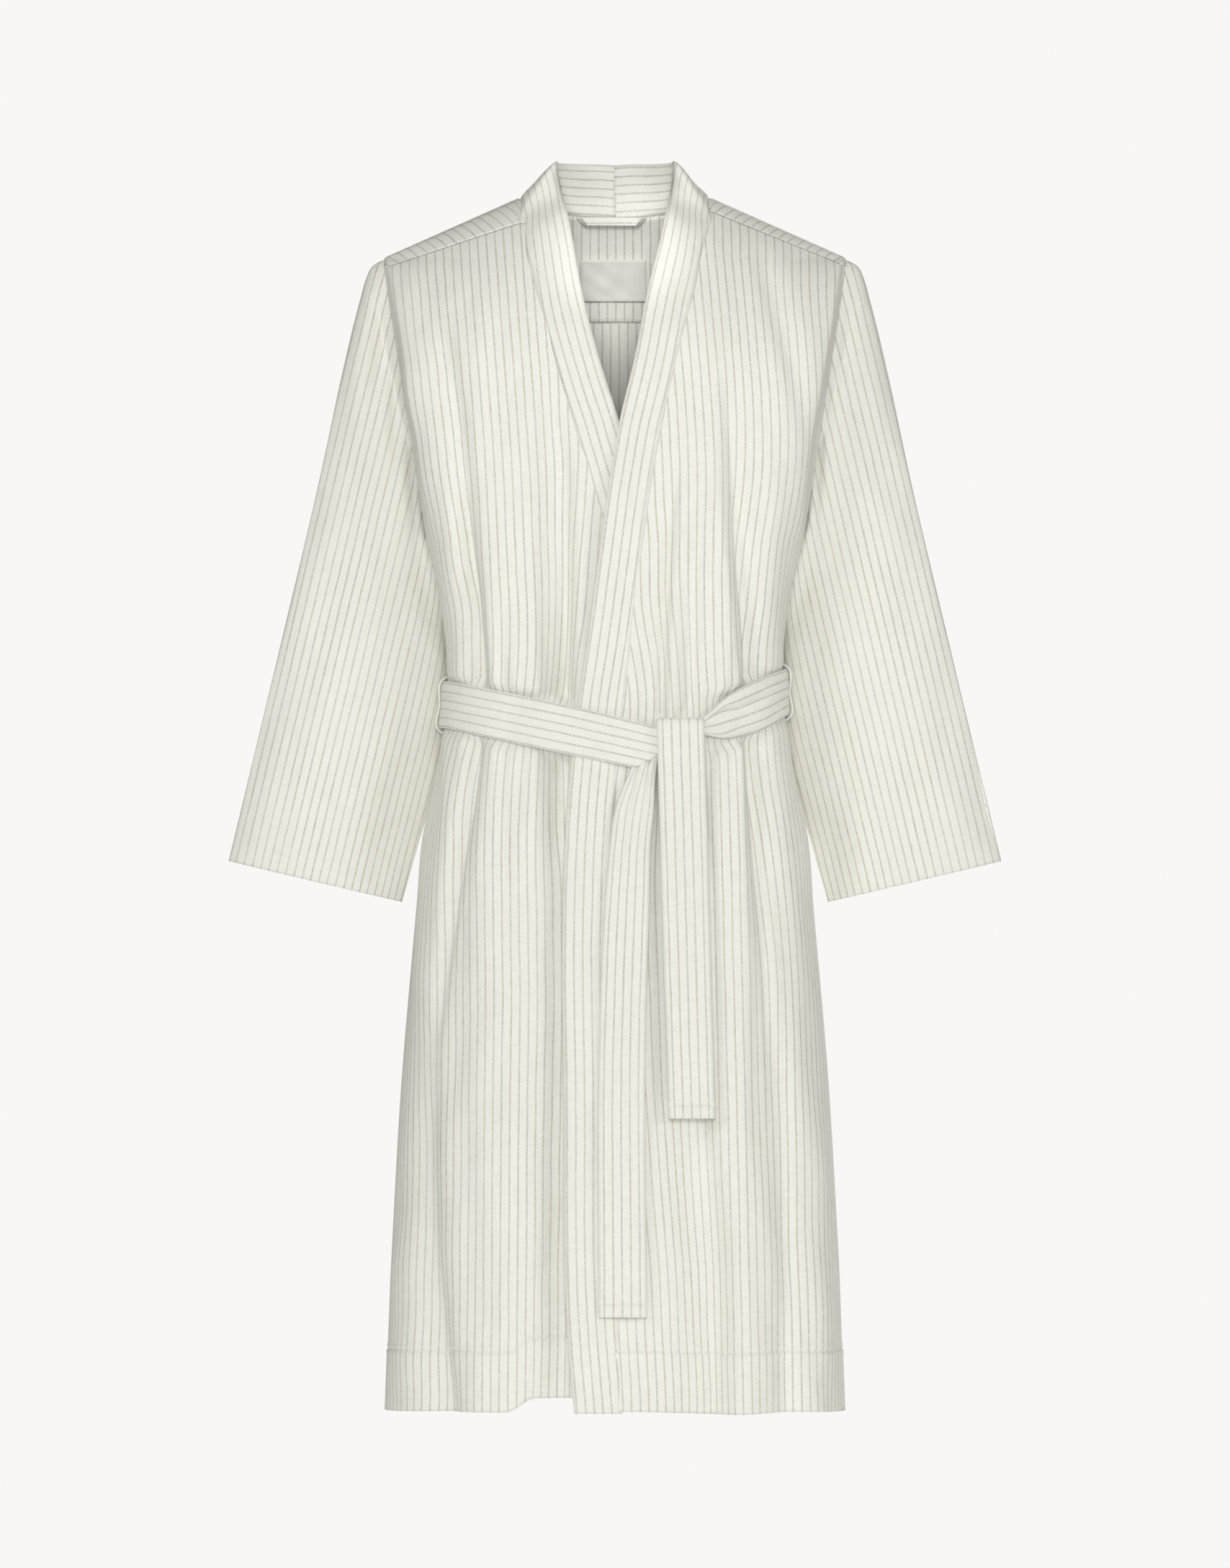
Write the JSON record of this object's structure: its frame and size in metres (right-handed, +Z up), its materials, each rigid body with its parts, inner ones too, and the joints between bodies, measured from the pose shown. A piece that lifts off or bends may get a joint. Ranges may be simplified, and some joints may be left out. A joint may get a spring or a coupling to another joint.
{
  "type": "bathrobe",
  "caption": "Kimono bathrobe in striped ivory cotton, hung upright, with a shawl neckband, wide sleeves and a belt tied once at the front.",
  "frame": {"origin": "centre of the back neck seam, where the hanger loop is sewn in", "axes": "+Z up along the hanging robe, -Y the way its front faces, +X the wearer's left"},
  "size_m": [0.7156, 0.2422, 1.1501],
  "materials": {
    "striped_cotton": "matt plain weave with thin taupe stripes along the grain",
    "cotton_inside": "inside face of the same cloth",
    "label_tape": "smooth woven tape, left blank"
  },
  "bodies": {
    "robe": {"back_panel": "striped_cotton", "left_front_panel": "striped_cotton", "right_front_panel": "striped_cotton", "left_front_hem": "cotton_inside", "right_front_hem": "cotton_inside", "back_hem": "cotton_inside", "left_side_seam": "cotton_inside", "left_shoulder_seam": "cotton_inside", "right_side_seam": "cotton_inside", "right_shoulder_seam": "cotton_inside", "left_neckband": "striped_cotton", "right_neckband": "striped_cotton", "back_neck_facing": "striped_cotton", "neck_label": "label_tape", "belt_waist": "striped_cotton", "belt_knot": "striped_cotton", "left_belt_loop": "striped_cotton", "right_belt_loop": "striped_cotton"},
    "left_sleeve": {"left_sleeve": "striped_cotton", "left_sleeve_hem": "cotton_inside"},
    "right_sleeve": {"right_sleeve": "striped_cotton", "right_sleeve_hem": "cotton_inside"},
    "hanger_loop": {"hanger_loop": "striped_cotton"},
    "belt_tail_long": {"belt_tail_long": "striped_cotton", "belt_tail_long_hem": "striped_cotton"},
    "belt_tail_short": {"belt_tail_short": "striped_cotton", "belt_tail_short_hem": "striped_cotton"}
  },
  "joints": [
    {"name": "left_sleeve_lift", "type": "hinge", "parent": "robe", "child": "left_sleeve", "pos_m": [0.2175, -0.06, -0.043], "axis": [0, -1, 0], "range_deg": [0, 40]},
    {"name": "right_sleeve_lift", "type": "hinge", "parent": "robe", "child": "right_sleeve", "pos_m": [-0.2175, -0.06, -0.043], "axis": [0, 1, 0], "range_deg": [0, 40]},
    {"name": "hanger_loop_flip", "type": "hinge", "parent": "robe", "child": "hanger_loop", "pos_m": [0, -0.0229, -0.003], "axis": [-1, 0, 0], "range_deg": [0, 150]},
    {"name": "belt_tail_long_swing", "type": "hinge", "parent": "robe", "child": "belt_tail_long", "pos_m": [0.015, -0.1703, -0.517], "axis": [-1, 0, 0], "range_deg": [0, 60]},
    {"name": "belt_tail_short_swing", "type": "hinge", "parent": "robe", "child": "belt_tail_short", "pos_m": [0.058, -0.175, -0.514], "axis": [-1, 0, 0], "range_deg": [0, 60]}
  ]
}
